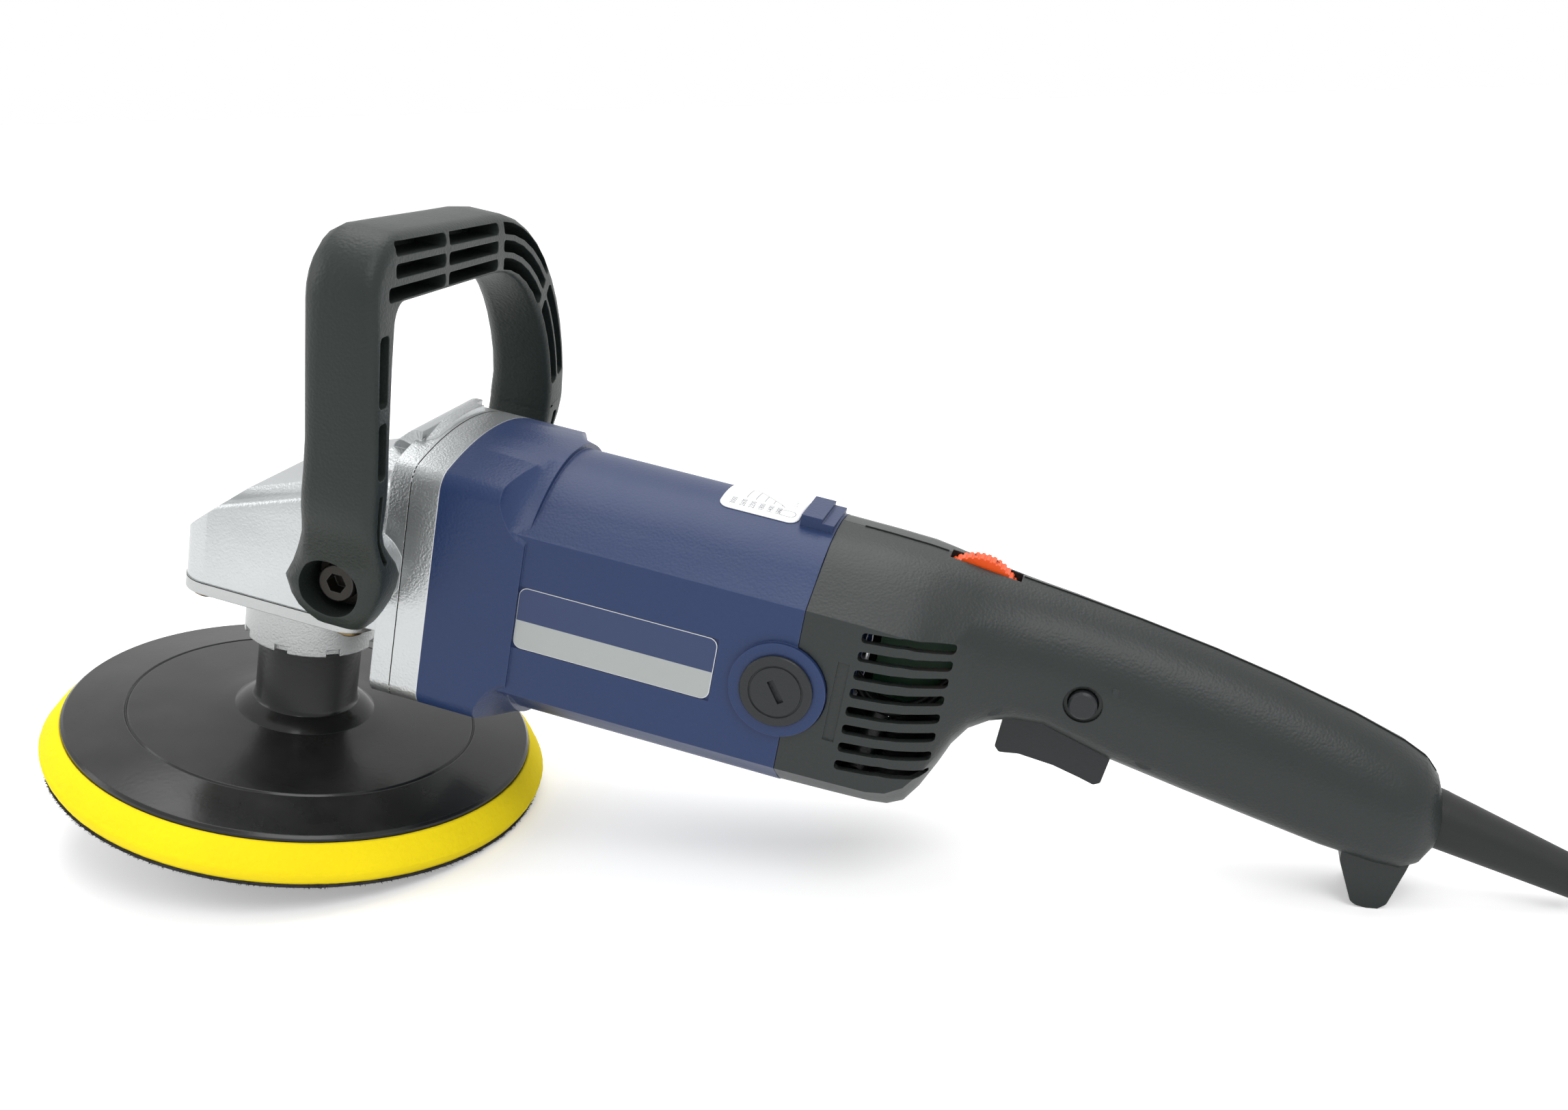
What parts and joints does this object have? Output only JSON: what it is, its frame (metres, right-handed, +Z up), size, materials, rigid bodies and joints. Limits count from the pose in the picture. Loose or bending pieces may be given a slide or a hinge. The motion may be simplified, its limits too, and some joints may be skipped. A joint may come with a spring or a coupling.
{
  "type": "rotary polisher",
  "caption": "Corded rotary polisher with a geared head, side loop handle, trigger grip, speed dial and a round foam pad on a backing plate.",
  "frame": {"origin": "middle of the pad's round working face, with the tool at rest on its pad edge and tail foot", "axes": "+X from the pad back towards the grip's tail, +Y to the side away from the brush cap seen first, +Z up; the pad face leans 12.8 degrees about Y"},
  "size_m": [0.6804, 0.261, 0.2246],
  "materials": {
    "foam_hook": "dark hook and loop layer",
    "foam": "open cell yellow foam",
    "pad_black": "glossy moulded black",
    "steel": "turned steel",
    "gear_steel": "cut and greased gear steel",
    "bearing_steel": "ground bearing steel",
    "seal_rubber": "dull black rubber",
    "cast_head": "bare die casting, fine grain",
    "screw_metal": "dark yellow zinc plating",
    "handle_plastic": "black grey grained plastic",
    "bolt_black": "blackened steel",
    "motor_blue": "navy blue fine grained plastic",
    "core_steel": "varnished steel sheets",
    "copper": "enamelled copper wire",
    "brass": "drawn brass",
    "carbon": "pressed carbon",
    "spring_steel": "spring steel",
    "black_plastic": "black moulded plastic",
    "plate_silver": "bare two tone plate",
    "sticker": "white printed film",
    "shell_plastic": "black grey grained plastic",
    "dial_orange": "orange moulded plastic",
    "board_green": "green board with parts",
    "cord_rubber": "black rubber sheath",
    "pin_metal": "nickel plated brass"
  },
  "bodies": {
    "machine": {"lower_bearing": "bearing_steel", "upper_bearing": "bearing_steel", "dust_seal": "seal_rubber", "gear_housing": "cast_head", "bearing_plate": "cast_head", "plate_screws": "screw_metal", "bearing_bracket": "cast_head", "housing_screws": "screw_metal", "loop_handle": "handle_plastic", "handle_bolts": "bolt_black", "motor_housing": "motor_blue", "stator_core": "core_steel", "field_coils": "copper", "brush_holders": "brass", "carbon_brushes": "carbon", "brush_springs": "spring_steel", "brush_caps": "black_plastic", "name_plate": "plate_silver", "speed_chart": "sticker", "front_bearing": "bearing_steel", "rear_bearing": "bearing_steel", "rear_shell_near": "shell_plastic", "rear_shell_far": "shell_plastic", "shell_screws": "bolt_black", "speed_board": "board_green", "trigger_pin": "steel", "switch_body": "black_plastic", "cord_clamp": "black_plastic", "cord_guard": "cord_rubber", "power_cord": "cord_rubber", "cord_coil": "cord_rubber", "plug_body": "cord_rubber", "plug_pins": "pin_metal"},
    "spindle_unit": {"pad_hook": "foam_hook", "pad_foam": "foam", "backing_plate": "pad_black", "pad_insert": "steel", "spindle": "steel", "spindle_gear": "gear_steel"},
    "armature_unit": {"armature_shaft": "steel", "armature_core": "core_steel", "armature_windings": "copper", "commutator": "copper", "cooling_fan": "black_plastic", "bevel_pinion": "gear_steel"},
    "trigger": {"trigger": "black_plastic"},
    "lock_button": {"lock_button": "black_plastic"},
    "speed_dial": {"speed_dial": "dial_orange"}
  },
  "joints": [
    {"name": "spindle_spin", "type": "hinge", "parent": "machine", "child": "spindle_unit", "pos_m": [0, 0, 0], "axis": [0.2213, 0, 0.9752], "continuous": true},
    {"name": "armature_spin", "type": "hinge", "parent": "machine", "child": "armature_unit", "pos_m": [0.11921, 0, 0.07344], "axis": [0.9752, 0, -0.2213], "continuous": true},
    {"name": "trigger_squeeze", "type": "hinge", "parent": "machine", "child": "trigger", "pos_m": [0.29843, 0, 0.03173], "axis": [0, 1, 0], "range_deg": [0, 7], "stiffness_Nm_per_rad": 0.6},
    {"name": "lock_press", "type": "slide", "parent": "machine", "child": "lock_button", "axis": [0, 1, 0], "range_m": [0, 0.002], "stiffness_N_per_m": 400},
    {"name": "speed_set", "type": "hinge", "parent": "machine", "child": "speed_dial", "pos_m": [0.25347, 0, 0.07537], "axis": [0, 1, 0], "range_deg": [-135, 135]}
  ],
  "couplings": [
    {"joint": "armature_spin", "follows": "spindle_spin", "ratio": 4}
  ]
}
